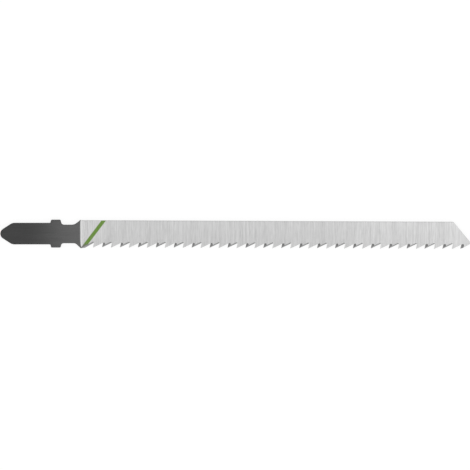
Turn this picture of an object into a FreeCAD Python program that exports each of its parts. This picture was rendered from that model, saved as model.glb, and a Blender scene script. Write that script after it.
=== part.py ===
import FreeCAD, Part
import math
import os

from FreeCAD import Vector

# Lengths are in millimetres and angles in degrees.
# The blade lies on its side: X runs from the shank's nose to the tip, the back
# edge faces +Y and the teeth face -Y. Z is the thickness, upwards.

# The whole blade
TOTAL_LENGTH = 152.0
SHEET_THICKNESS = 1.5

# Shank: its nose, its sides and the two lugs of the T
SHANK_LENGTH = 25.9
SHANK_WIDTH = 6.9
NOSE_RADIUS = 1.8
NOSE_ANGLE = 33.0
NOSE_BLEND_RADIUS = 2.5
LUG_LENGTH = 3.5
LUG_SPAN = 8.95
LUG_END_LEAN = 14.0
LUG_CORNER_RADIUS = 0.3
LUG_ROOT_RADIUS = 0.3
SHANK_EDGE_BREAK = 0.1

# Neck behind the lugs, and the flares that widen it into the shoulder
NECK_LENGTH = 6.25
NECK_BACK_DEPTH = 0.6
NECK_TOOTH_DEPTH = 0.37
NECK_ROOT_RADIUS = 0.9
BACK_FLARE_ANGLE = 38.0
BACK_FLARE_RADIUS = 2.5
TOOTH_FLARE_ANGLE = 44.0
TOOTH_FLARE_RADIUS = 1.5
SHOULDER_RISE = 0.15

# Body: a bar that leans a little to the tooth side, hollow ground on both sides
BODY_LEAN = 0.25
BODY_WIDTH = 8.95
BACK_SHARE = 0.48
HOLLOW_DEPTH = 0.1
HOLLOW_START = 0.12
HOLLOW_RAMP_ANGLE = 25.0
BACK_LAND = 0.3
TOOTH_LAND = 0.5

# Tip: one slanting cut from the back edge to the last tooth
TIP_CUT_ANGLE = 50.0
TIP_CORNER_RADIUS = 0.5

# Teeth: gullets ground across the edge, each slanting the other way to the last.
# Seen from above, a slant's run is skewed a little from the length of the body.
TOOTH_PITCH = 2.895
FIRST_GULLET = 4.37
LAST_TOOTH_LENGTH = 2.6
GULLET_DEPTH = 1.98
GULLET_RADIUS = 0.28
RAKE_ANGLE = 12.0
BACK_ANGLE = 29.0
HEEL_ANGLE = 33.0
BEVEL_ANGLE = 27.5
BEVEL_SKEW = 20.0

# How far a cutting shape runs past the metal that it cuts
OVERRUN = 0.6

NODE_NAME = "blade"


def sine(angle):
    return math.sin(math.radians(angle))


def cosine(angle):
    return math.cos(math.radians(angle))


def tangent(angle):
    return math.tan(math.radians(angle))


def rounded_outline(corners):
    """Closed wire through (x, y, radius) corners, with a tangent arc at each one."""
    points = [Vector(x, y, 0) for x, y, radius in corners]
    starts = []
    middles = []
    finishes = []
    for i, here in enumerate(points):
        before = points[i - 1] - here
        after = points[(i + 1) % len(points)] - here
        half_angle = before.getAngle(after) / 2
        # A rounding takes at most half of the shorter side beside it.
        wanted = corners[i][2] / math.tan(half_angle)
        reach = min(wanted, before.Length / 2, after.Length / 2)
        before.normalize()
        after.normalize()
        inward = (before + after).normalize()
        radius = reach * math.tan(half_angle)
        starts.append(here + before * reach)
        middles.append(here + inward * (radius / math.sin(half_angle) - radius))
        finishes.append(here + after * reach)
    edges = []
    for i, here in enumerate(points):
        if corners[i][2] > 0:
            edges.append(Part.Arc(starts[i], middles[i], finishes[i]).toShape())
        following = starts[(i + 1) % len(points)]
        if finishes[i].distanceToPoint(following) > Part.Precision.confusion():
            edges.append(Part.LineSegment(finishes[i], following).toShape())
    return Part.Wire(edges)


def slab(outline, low, high):
    """The outline as a plate between two heights."""
    plate = Part.Face(outline).extrude(Vector(0, 0, high - low))
    plate.translate(Vector(0, 0, low))
    return plate


def on_body(shape):
    """Turns a shape drawn along the body to the body's lean, about the shoulder."""
    shape.rotate(Vector(0, 0, 0), Vector(0, 0, 1), -BODY_LEAN)
    shape.translate(Vector(SHANK_LENGTH, 0, 0))
    return shape


def nose_point_x():
    """Where the nose's two bevels would meet, if no arc rounded the nose off at zero."""
    return NOSE_RADIUS - NOSE_RADIUS / sine(NOSE_ANGLE)


def shank_side(neck_depth, flare_angle, flare_radius, shoulder_y):
    """Corners of one side of the shank, from the nose to the shoulder, drawn upwards."""
    half_width = SHANK_WIDTH / 2
    half_span = LUG_SPAN / 2
    neck_y = half_width - neck_depth
    nose_end = nose_point_x() + half_width / tangent(NOSE_ANGLE)
    front_lean = (half_span - half_width) * tangent(LUG_END_LEAN)
    rear_lean = (half_span - neck_y) * tangent(LUG_END_LEAN)
    lug_end = SHANK_LENGTH - NECK_LENGTH
    lug_start = lug_end - LUG_LENGTH
    flare_start = SHANK_LENGTH - (shoulder_y - neck_y) / tangent(flare_angle)
    return [
        (nose_end, half_width, NOSE_BLEND_RADIUS),
        (lug_start, half_width, LUG_ROOT_RADIUS),
        (lug_start + front_lean, half_span, LUG_CORNER_RADIUS),
        (lug_end - front_lean, half_span, LUG_CORNER_RADIUS),
        (lug_end - front_lean + rear_lean, neck_y, NECK_ROOT_RADIUS),
        (flare_start, neck_y, flare_radius),
        (SHANK_LENGTH, shoulder_y, 0),
    ]


def shank():
    """The stamped T shank, with its rim broken on both faces."""
    shoulder_y = back_edge_y() + SHOULDER_RISE
    back_side = shank_side(NECK_BACK_DEPTH, BACK_FLARE_ANGLE, BACK_FLARE_RADIUS, shoulder_y)
    heel_y = -tooth_edge_y()
    tooth_side = shank_side(NECK_TOOTH_DEPTH, TOOTH_FLARE_ANGLE, TOOTH_FLARE_RADIUS, heel_y)
    downwards = [(x, -y, radius) for x, y, radius in reversed(tooth_side)]
    outline = rounded_outline([(nose_point_x(), 0, NOSE_RADIUS)] + back_side + downwards)
    plate = slab(outline, -SHEET_THICKNESS / 2, SHEET_THICKNESS / 2)
    rim = []
    for edge in plate.Edges:
        on_a_face = edge.BoundBox.ZLength < Part.Precision.confusion()
        at_shoulder = edge.BoundBox.XMin > SHANK_LENGTH - Part.Precision.confusion()
        if on_a_face and not at_shoulder:
            rim.append(edge)
    return plate.makeChamfer(SHANK_EDGE_BREAK, rim)


def body_length():
    return TOTAL_LENGTH - SHANK_LENGTH


def back_edge_y():
    """Height of the straight back edge above the shank's centre line."""
    return BODY_WIDTH * BACK_SHARE


def tooth_edge_y():
    """Height of the bar's lower edge, before any gullet is ground into it."""
    return back_edge_y() - BODY_WIDTH


def tooth_count():
    """As many whole teeth as the body has room for."""
    room = body_length() - FIRST_GULLET - LAST_TOOTH_LENGTH
    return int(room / TOOTH_PITCH) + 1


def gullet_centre(number):
    """Centre of a gullet's root arc, halfway through the thickness."""
    x = FIRST_GULLET + number * TOOTH_PITCH
    y = tooth_edge_y() + GULLET_DEPTH - GULLET_RADIUS
    return Vector(x, y, 0)


def slope_top(centre, angle):
    """Point where the back slope of a tooth runs into the root arc."""
    return centre + Vector(-sine(angle), cosine(angle), 0) * GULLET_RADIUS


def slope_foot(top, angle):
    """Point of the back slope below the bar's lower edge."""
    drop = top.y - tooth_edge_y() + OVERRUN
    return top - Vector(drop / tangent(angle), drop, 0)


def slanting_cut(outline, number):
    """The path of the grinding wheel: its profile swept across the edge at a slant."""
    reach = SHEET_THICKNESS + OVERRUN
    turn = BEVEL_ANGLE if number % 2 else -BEVEL_ANGLE
    tilt_axis = Vector(sine(BEVEL_SKEW), cosine(BEVEL_SKEW), 0)
    cut = slab(outline, -reach, reach)
    cut.rotate(gullet_centre(number), tilt_axis, turn)
    return on_body(cut)


def gullet(number):
    """One gullet: the back slope of a tooth, the root arc and the next tooth's rake face."""
    back_angle = BACK_ANGLE if number else HEEL_ANGLE
    centre = gullet_centre(number)
    rake_top = centre + Vector(cosine(RAKE_ANGLE), -sine(RAKE_ANGLE), 0) * GULLET_RADIUS
    drop = rake_top.y - tooth_edge_y() + OVERRUN
    rake_foot = rake_top - Vector(drop * tangent(RAKE_ANGLE), drop, 0)
    back_top = slope_top(centre, back_angle)
    back_foot = slope_foot(back_top, back_angle)
    root = centre + Vector(0, GULLET_RADIUS, 0)
    outline = Part.Wire([
        Part.LineSegment(back_foot, back_top).toShape(),
        Part.Arc(back_top, root, rake_top).toShape(),
        Part.LineSegment(rake_top, rake_foot).toShape(),
        Part.LineSegment(rake_foot, back_foot).toShape(),
    ])
    return slanting_cut(outline, number)


def last_slope():
    """The back slope of the last tooth, ground square and straight out through the tip."""
    back_foot = slope_foot(slope_top(gullet_centre(tooth_count()), BACK_ANGLE), BACK_ANGLE)
    run = body_length() + BODY_WIDTH - back_foot.x
    far_top = back_foot + Vector(run, run * tangent(BACK_ANGLE), 0)
    far_foot = back_foot + Vector(run, 0, 0)
    outline = Part.makePolygon([back_foot, far_top, far_foot, back_foot])
    return on_body(slab(outline, -SHEET_THICKNESS, SHEET_THICKNESS))


def tip_corner():
    """Far corner of the tip, where its slanting cut meets the last tooth's back slope."""
    centre = gullet_centre(tooth_count())
    over_centre = centre.y + GULLET_RADIUS / cosine(BACK_ANGLE)
    rise = (body_length() - centre.x) * tangent(BACK_ANGLE)
    return Vector(body_length(), over_centre + rise, 0)


def bar():
    """The body before grinding: full sheet, cut to the shoulder and to the tip."""
    corner = tip_corner()
    tip_back_x = corner.x - (back_edge_y() - corner.y) / tangent(TIP_CUT_ANGLE)
    tip_foot_x = corner.x + (corner.y - tooth_edge_y()) / tangent(TIP_CUT_ANGLE)
    outline = rounded_outline([
        (-OVERRUN, tooth_edge_y(), 0),
        (-OVERRUN, back_edge_y(), 0),
        (tip_back_x, back_edge_y(), TIP_CORNER_RADIUS),
        (tip_foot_x, tooth_edge_y(), 0),
    ])
    half = SHEET_THICKNESS / 2
    plate = on_body(slab(outline, -half, half))
    waste_width = 2 * BODY_WIDTH
    waste = Part.makeBox(SHANK_LENGTH, waste_width, 2 * SHEET_THICKNESS)
    waste.translate(Vector(0, -waste_width / 2, -SHEET_THICKNESS))
    return plate.cut(waste)


def hollow_grind(sign):
    """The grinding wheel that hollows one side: wide, with its near corner bevelled."""
    hollow_width = BODY_WIDTH - TOOTH_LAND - BACK_LAND
    wheel_radius = (hollow_width ** 2 / 4 + HOLLOW_DEPTH ** 2) / 2 / HOLLOW_DEPTH
    middle_y = (tooth_edge_y() + TOOTH_LAND + back_edge_y() - BACK_LAND) / 2
    axis_z = SHEET_THICKNESS / 2 - HOLLOW_DEPTH + wheel_radius
    far_x = body_length() + BODY_WIDTH
    bevel_drop = HOLLOW_DEPTH + OVERRUN
    near_x = HOLLOW_START - bevel_drop / tangent(HOLLOW_RAMP_ANGLE)
    profile = Part.makePolygon([
        Vector(near_x, middle_y, axis_z),
        Vector(near_x, middle_y, axis_z + wheel_radius - bevel_drop),
        Vector(HOLLOW_START, middle_y, axis_z + wheel_radius),
        Vector(far_x, middle_y, axis_z + wheel_radius),
        Vector(far_x, middle_y, axis_z),
        Vector(near_x, middle_y, axis_z),
    ])
    wheel = Part.Face(profile).revolve(Vector(0, middle_y, axis_z), Vector(1, 0, 0), 360)
    wheel = on_body(wheel)
    if sign < 0:
        wheel = wheel.mirror(Vector(0, 0, 0), Vector(0, 0, 1))
    return wheel


def blade():
    """The finished blade in one piece, lying on its side with the origin under its middle."""
    blank = shank().fuse(bar()).removeSplitter()
    ground = blank.cut([hollow_grind(1), hollow_grind(-1)])
    gullets = [gullet(number) for number in range(tooth_count())]
    whole = ground.cut(gullets + [last_slope()])
    box = whole.optimalBoundingBox(False)
    whole.translate(Vector(-box.Center.x, -box.Center.y, -box.ZMin))
    return whole.Solids[0]


os.makedirs("parts", exist_ok=True)
blade().exportStep("parts/" + NODE_NAME + ".step")
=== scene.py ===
import math

import bmesh
import bpy
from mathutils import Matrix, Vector


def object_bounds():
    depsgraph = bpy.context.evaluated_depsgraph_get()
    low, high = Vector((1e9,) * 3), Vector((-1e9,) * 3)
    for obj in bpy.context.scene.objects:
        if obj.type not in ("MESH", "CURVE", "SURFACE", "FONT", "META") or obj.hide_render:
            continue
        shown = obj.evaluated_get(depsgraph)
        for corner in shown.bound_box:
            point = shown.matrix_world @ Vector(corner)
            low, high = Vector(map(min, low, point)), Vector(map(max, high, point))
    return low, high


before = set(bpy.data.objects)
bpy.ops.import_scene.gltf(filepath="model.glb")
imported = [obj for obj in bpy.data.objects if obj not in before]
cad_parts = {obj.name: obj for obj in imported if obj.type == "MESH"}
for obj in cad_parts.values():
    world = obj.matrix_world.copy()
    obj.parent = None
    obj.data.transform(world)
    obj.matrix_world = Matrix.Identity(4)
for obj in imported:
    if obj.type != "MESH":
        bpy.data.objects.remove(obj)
cad_low, cad_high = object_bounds()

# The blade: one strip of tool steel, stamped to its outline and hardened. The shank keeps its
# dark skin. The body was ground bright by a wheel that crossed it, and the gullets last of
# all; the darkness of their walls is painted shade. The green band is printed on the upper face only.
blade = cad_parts["blade"]


class Pattern:
    """A value or colour that changes over a surface: one socket of its node tree."""

    def __init__(self, socket):
        self.socket = socket

    def node(self, kind, settings, inputs, output=0):
        """Adds a node of a type: its settings first, then the values or links of its sockets."""
        tree = self.socket.id_data
        made = tree.nodes.new(kind)
        for name, value in settings.items():
            setattr(made, name, value)
        for name, value in inputs.items():
            if isinstance(value, Pattern):
                tree.links.new(value.socket, made.inputs[name])
            else:
                made.inputs[name].default_value = value
        return Pattern(made.outputs[output])

    def math(self, operation, first, second):
        return self.node("ShaderNodeMath", {"operation": operation}, {0: first, 1: second})

    def __add__(self, other):
        return self.math("ADD", self, other)

    def __radd__(self, other):
        return self.math("ADD", other, self)

    def __sub__(self, other):
        return self.math("SUBTRACT", self, other)

    def __rsub__(self, other):
        return self.math("SUBTRACT", other, self)

    def __mul__(self, other):
        return self.math("MULTIPLY", self, other)

    def __rmul__(self, other):
        return self.math("MULTIPLY", other, self)

    def __abs__(self):
        return self.math("ABSOLUTE", self, 0.0)

    def scaled(self, factor):
        """A place or direction with its three coordinates times a factor."""
        return self.node("ShaderNodeVectorMath", {"operation": "SCALE"}, {0: self, "Scale": factor})

    def axis(self, name):
        """One coordinate of a place or direction."""
        return self.node("ShaderNodeSeparateXYZ", {}, {0: self}, name)

    def step(self, start, end):
        """A smooth rise from 0 at start to 1 at end."""
        return self.node(
            "ShaderNodeMapRange",
            {"interpolation_type": "SMOOTHSTEP"},
            {"Value": self, "From Min": start, "From Max": end},
        )

    def noise(self, blotches, detail):
        """Noise about 0, with so many blotches to the millimetre along X, Y and Z."""
        middle = 0.5
        place = self.node("ShaderNodeMapping", {}, {"Vector": self, "Scale": blotches})
        sockets = {"Vector": place, "Scale": 1.0, "Detail": detail}
        return self.node("ShaderNodeTexNoise", {}, sockets) - middle

    def blend(self, first, second):
        """One colour turning into another as this value goes from 0 to 1."""
        colours = {0: self, 6: first, 7: second}
        return self.node("ShaderNodeMix", {"data_type": "RGBA"}, colours, 2)

    def grey(self):
        """The neutral colour of this brightness."""
        shares = {"Red": self, "Green": self, "Blue": self}
        return self.node("ShaderNodeCombineColor", {}, shares)


steel = bpy.data.materials.new("blade_steel")
steel.use_nodes = True
steel_shader = steel.node_tree.nodes["Principled BSDF"]
surface = Pattern(steel_shader.outputs["BSDF"])

# Places on the blade are in millimetres, and grow towards the tip and the back edge. They are
# counted from the nose, the shoulder or the tip, and from the back edge beside the shoulder,
# which lies a little below the ends of the lugs.
millimetres_in_metre = 1000.0
shank_length = 25.774
lug_rise = 0.174
nose_x = millimetres_in_metre * cad_low.x
tip_x = millimetres_in_metre * cad_high.x
back_edge_y = millimetres_in_metre * cad_high.y - lug_rise
place = surface.node("ShaderNodeTexCoord", {}, {}, "Object").scaled(millimetres_in_metre)
from_nose = place.axis("X") - nose_x
from_shoulder = from_nose - shank_length
from_tip = place.axis("X") - tip_x
from_back = place.axis("Y") - back_edge_y

# The walls of the gullets and the rims turn away from the two flat faces.
flat_slope = 0.97
wall_slope = 0.8
facing = surface.node("ShaderNodeTexCoord", {}, {}, "Normal").axis("Z")
wall = 1.0 - abs(facing).step(wall_slope, flat_slope)
upper_face = facing.step(wall_slope, flat_slope)

# The skin ends at the shoulder, where the hollow of the body runs out. Its end is nearly
# straight and curls towards the body at the back edge and, more so, at the heel.
skin_curl = 0.28
curl_middle = -3.873
curl_half_width = 4.6
skin_fade = 0.07
skin_raggedness = 0.06
across = (1 / curl_half_width) * (from_back - curl_middle)
bend = across * across
ragged = skin_raggedness * place.noise((2.0, 2.0, 0.0), 2.0)
past_skin = from_shoulder - skin_curl * bend * bend + ragged
skin = 1.0 - (past_skin + skin_raggedness / 2).step(0.0, skin_fade)

# The ground steel: streaks right across the body, broken by shorter and finer ones.
streak_contrast = 0.36
long_streaks = place.noise((3.2, 0.03, 0.3), 1.0)
short_streaks = place.noise((4.6, 0.36, 0.3), 1.0)
fine_streaks = place.noise((14.0, 0.3, 0.3), 3.0)
streaks = streak_contrast * (long_streaks + short_streaks + fine_streaks)

# Painted light along the length: the steel is a little duller past the shoulder, and brighter towards
# the tip.
shoulder_steel = 0.547
painted_dulling = 0.018
dulling_start = 0.22
dulling_end = 10.22
far_gain = 0.035
far_start = -51.0
far_end = -26.0
tip_gain = 0.03
tip_start = -12.0
tip_end = -4.0
painted_duller = painted_dulling * from_shoulder.step(dulling_start, dulling_end)
painted_brighter = far_gain * from_tip.step(far_start, far_end) + tip_gain * from_tip.step(tip_start, tip_end)
steel_tone_and_painted_light = shoulder_steel - painted_duller + painted_brighter

# A painted glint brightens the first sliver beside the skin, and painted shade dulls the steel just
# inside the back edge, which leans. The walls of the gullets are much darker with painted shade, and
# the back edge itself hardly darker.
body_lean = math.radians(0.25)
back_strip_start = -0.35
back_strip_end = -0.1
back_strip_painted_shade = 0.03
sliver_middle = 0.46
sliver_half_width = 0.06
sliver_fade_end = 0.28
painted_glint_gain = 0.22
gullet_shade = 0.54
back_edge_gain = 0.36
from_leaning_back = from_back + math.tan(body_lean) * from_shoulder
near_back = from_leaning_back.step(back_strip_start, back_strip_end)
painted_glint = 1.0 - abs(from_shoulder - sliver_middle).step(sliver_half_width, sliver_fade_end)
streaks_and_painted_light = 1.0 + streaks + painted_glint_gain * painted_glint - back_strip_painted_shade * near_back
# Painted shade on the walls of the gullets, less of it at the back edge.
cut_shade = wall * (gullet_shade - back_edge_gain * near_back)
steel_with_painted_light = steel_tone_and_painted_light * streaks_and_painted_light * (1.0 - cut_shade)

# The skin: dark oxide, greyer towards the shoulder, with faint marks of the rolled strip.
nose_tone = 0.0395
shoulder_tone = 0.115
greying_start = 7.4
rolling_contrast = 0.32
scratch_contrast = 0.38
oxide_contrast = 0.4
rim_shade = 0.5
rolling = place.noise((0.15, 2.2, 0.3), 2.0)
scratches = place.noise((0.4, 11.0, 1.0), 3.0)
oxide = place.noise((5.0, 5.0, 5.0), 4.0)
greying = from_nose.step(greying_start, shank_length)
skin_tone = nose_tone + (shoulder_tone - nose_tone) * greying
marks = rolling_contrast * rolling + scratch_contrast * scratches + oxide_contrast * oxide
dark_skin = skin_tone * (1.0 + marks - rim_shade * wall)

# The printed band: it leans from the heel up to the back edge, and its foot turns grey.
band_green = (0.136, 0.262, 0.034, 1)
band_grey_foot = (0.17, 0.17, 0.145, 1)
band_foot = (1.95, -7.495)
band_lean = math.radians(52.8)
band_half_width = 0.58
band_softness = 0.09
band_raggedness = 0.1
grey_foot_end = -8.323
grey_foot_start = -7.123
ink_cover = 0.98
ink_streaking = 0.5
off_band = math.sin(band_lean) * (from_shoulder - band_foot[0])
off_band -= math.cos(band_lean) * (from_back - band_foot[1])
band_edge = abs(off_band) - band_half_width
band_edge += band_raggedness * place.noise((5.0, 5.0, 0.0), 2.0)
band = (1.0 - band_edge.step(-band_softness, band_softness)) * upper_face * (1.0 - skin)
ink = from_back.step(grey_foot_end, grey_foot_start).blend(band_grey_foot, band_green)
inked = band * (ink_cover + ink_streaking * fine_streaks)
colour = inked.blend(skin.blend(steel_with_painted_light.grey(), dark_skin.grey()), ink)

# The finish: bare steel is a satin metal, the skin is dull, and the ink hides most of the
# metal under it. The streaks and the skin's marks are felt as a faint relief.
ink_over_metal = 0.8
steel_roughness = 0.4
streak_roughness = 0.3
skin_roughness = 0.08
oxide_roughness = 0.4
ink_roughness = 0.12
steel_specular = 0.3
skin_relief = 0.8
relief_strength = 0.3
relief_depth = 0.00002
bare_metal = (1.0 - skin) * (1.0 - ink_over_metal * band)
roughness = steel_roughness + skin * (skin_roughness + oxide_roughness * oxide)
roughness += ink_roughness * band + streak_roughness * streaks
height = streaks * (1.0 - skin) + skin_relief * (oxide + scratches) * skin
relief = {"Strength": relief_strength, "Distance": relief_depth, "Height": height}
for name, pattern in {
    "Base Color": colour,
    "Metallic": bare_metal,
    "Roughness": roughness,
    "Normal": height.node("ShaderNodeBump", {}, relief),
}.items():
    steel.node_tree.links.new(pattern.socket, steel_shader.inputs[name])
steel_shader.inputs["Specular IOR Level"].default_value = steel_specular
blade.material_slots[0].material = steel

# The table: a plain white top that the blade lies on. To the camera and in the steel it is
# as white as the room behind it, but for the blade's faint soft shadow.
table_size = 3.0
table_white = (0.85, 0.85, 0.85, 1)
table_roughness = 0.9
table_specular = 0.0
table_glow = 1.1
table_glow_share = 0.78


def seen_share(look):
    """1 for what the camera sees straight, in gloss or through glass, and 0 for light."""
    camera_ray = look.node("ShaderNodeLightPath", {}, {}, "Is Camera Ray")
    glossy_ray = look.node("ShaderNodeLightPath", {}, {}, "Is Glossy Ray")
    glass_ray = look.node("ShaderNodeLightPath", {}, {}, "Is Transmission Ray")
    return camera_ray + glossy_ray + glass_ray


table_mesh = bmesh.new()
bmesh.ops.create_grid(table_mesh, x_segments=1, y_segments=1, size=table_size / 2)
table_data = bpy.data.meshes.new("table")
table_mesh.to_mesh(table_data)
table_mesh.free()
table = bpy.data.objects.new("table", table_data)
bpy.context.scene.collection.objects.link(table)

table_top = bpy.data.materials.new("table_top")
table_top.use_nodes = True
top_nodes = table_top.node_tree.nodes
top_shader = top_nodes["Principled BSDF"]
top_shader.inputs["Base Color"].default_value = table_white
top_shader.inputs["Roughness"].default_value = table_roughness
top_shader.inputs["Specular IOR Level"].default_value = table_specular
painted = Pattern(top_shader.outputs["BSDF"])
glow = painted.node("ShaderNodeEmission", {}, {"Strength": table_glow})
layers = {0: table_glow_share * seen_share(painted), 1: painted, 2: glow}
top_look = painted.node("ShaderNodeMixShader", {}, layers)
table_top.node_tree.links.new(top_look.socket, top_nodes["Material Output"].inputs["Surface"])
table_data.materials.append(table_top)

# The room: pale even light from all round, and one wide soft lamp on the tooth side. What the
# camera and the steel see of the room is plain white.
room_light = 0.8
room_glow = 1.0
room_white = (1, 1, 1, 1)
lamp_watts = 0.85
lamp_width = 0.9
lamp_place = Vector((0.12, -0.42, 0.5))

room = bpy.data.worlds.new("room")
room.use_nodes = True
bpy.context.scene.world = room
room_nodes = room.node_tree.nodes
room_nodes["Background"].inputs["Color"].default_value = room_white
room_nodes["Background"].inputs["Strength"].default_value = room_glow
backdrop = Pattern(room_nodes["Background"].outputs["Background"])
light_sockets = {"Color": room_white, "Strength": room_light}
lighting = backdrop.node("ShaderNodeBackground", {}, light_sockets)
layers = {0: seen_share(backdrop), 1: lighting, 2: backdrop}
room_look = backdrop.node("ShaderNodeMixShader", {}, layers)
room.node_tree.links.new(room_look.socket, room_nodes["World Output"].inputs["Surface"])

lamp_data = bpy.data.lights.new("soft_lamp", "AREA")
lamp_data.shape = "SQUARE"
lamp_data.size = lamp_width
lamp_data.energy = lamp_watts
lamp = bpy.data.objects.new("soft_lamp", lamp_data)
lamp.location = lamp_place
lamp.rotation_euler = (-lamp_place).to_track_quat("-Z", "Y").to_euler()
bpy.context.scene.collection.objects.link(lamp)

# The camera: far above the blade with a long lens, and leaning a few degrees from beyond the
# back edge. The tip runs a little out of the picture on the right, and the nose just touches
# its left edge.
picture_width = 0.15161
picture_middle = Vector((-0.00026, -0.00019, cad_high.z / 2))
view_lean = math.radians(5.0)
lens = 200.0
sensor = 36.0

camera_data = bpy.data.cameras.new("camera")
camera_data.lens = lens
camera_data.sensor_width = sensor
camera = bpy.data.objects.new("camera", camera_data)
camera_distance = cad_high.z / 2 + picture_width * lens / sensor
view_line = Vector((0, math.sin(view_lean), math.cos(view_lean)))
camera.location = picture_middle + camera_distance * view_line
camera.rotation_euler = (-view_lean, 0, 0)
bpy.context.scene.collection.objects.link(camera)
bpy.context.scene.camera = camera
bpy.context.scene.view_settings.view_transform = "Standard"
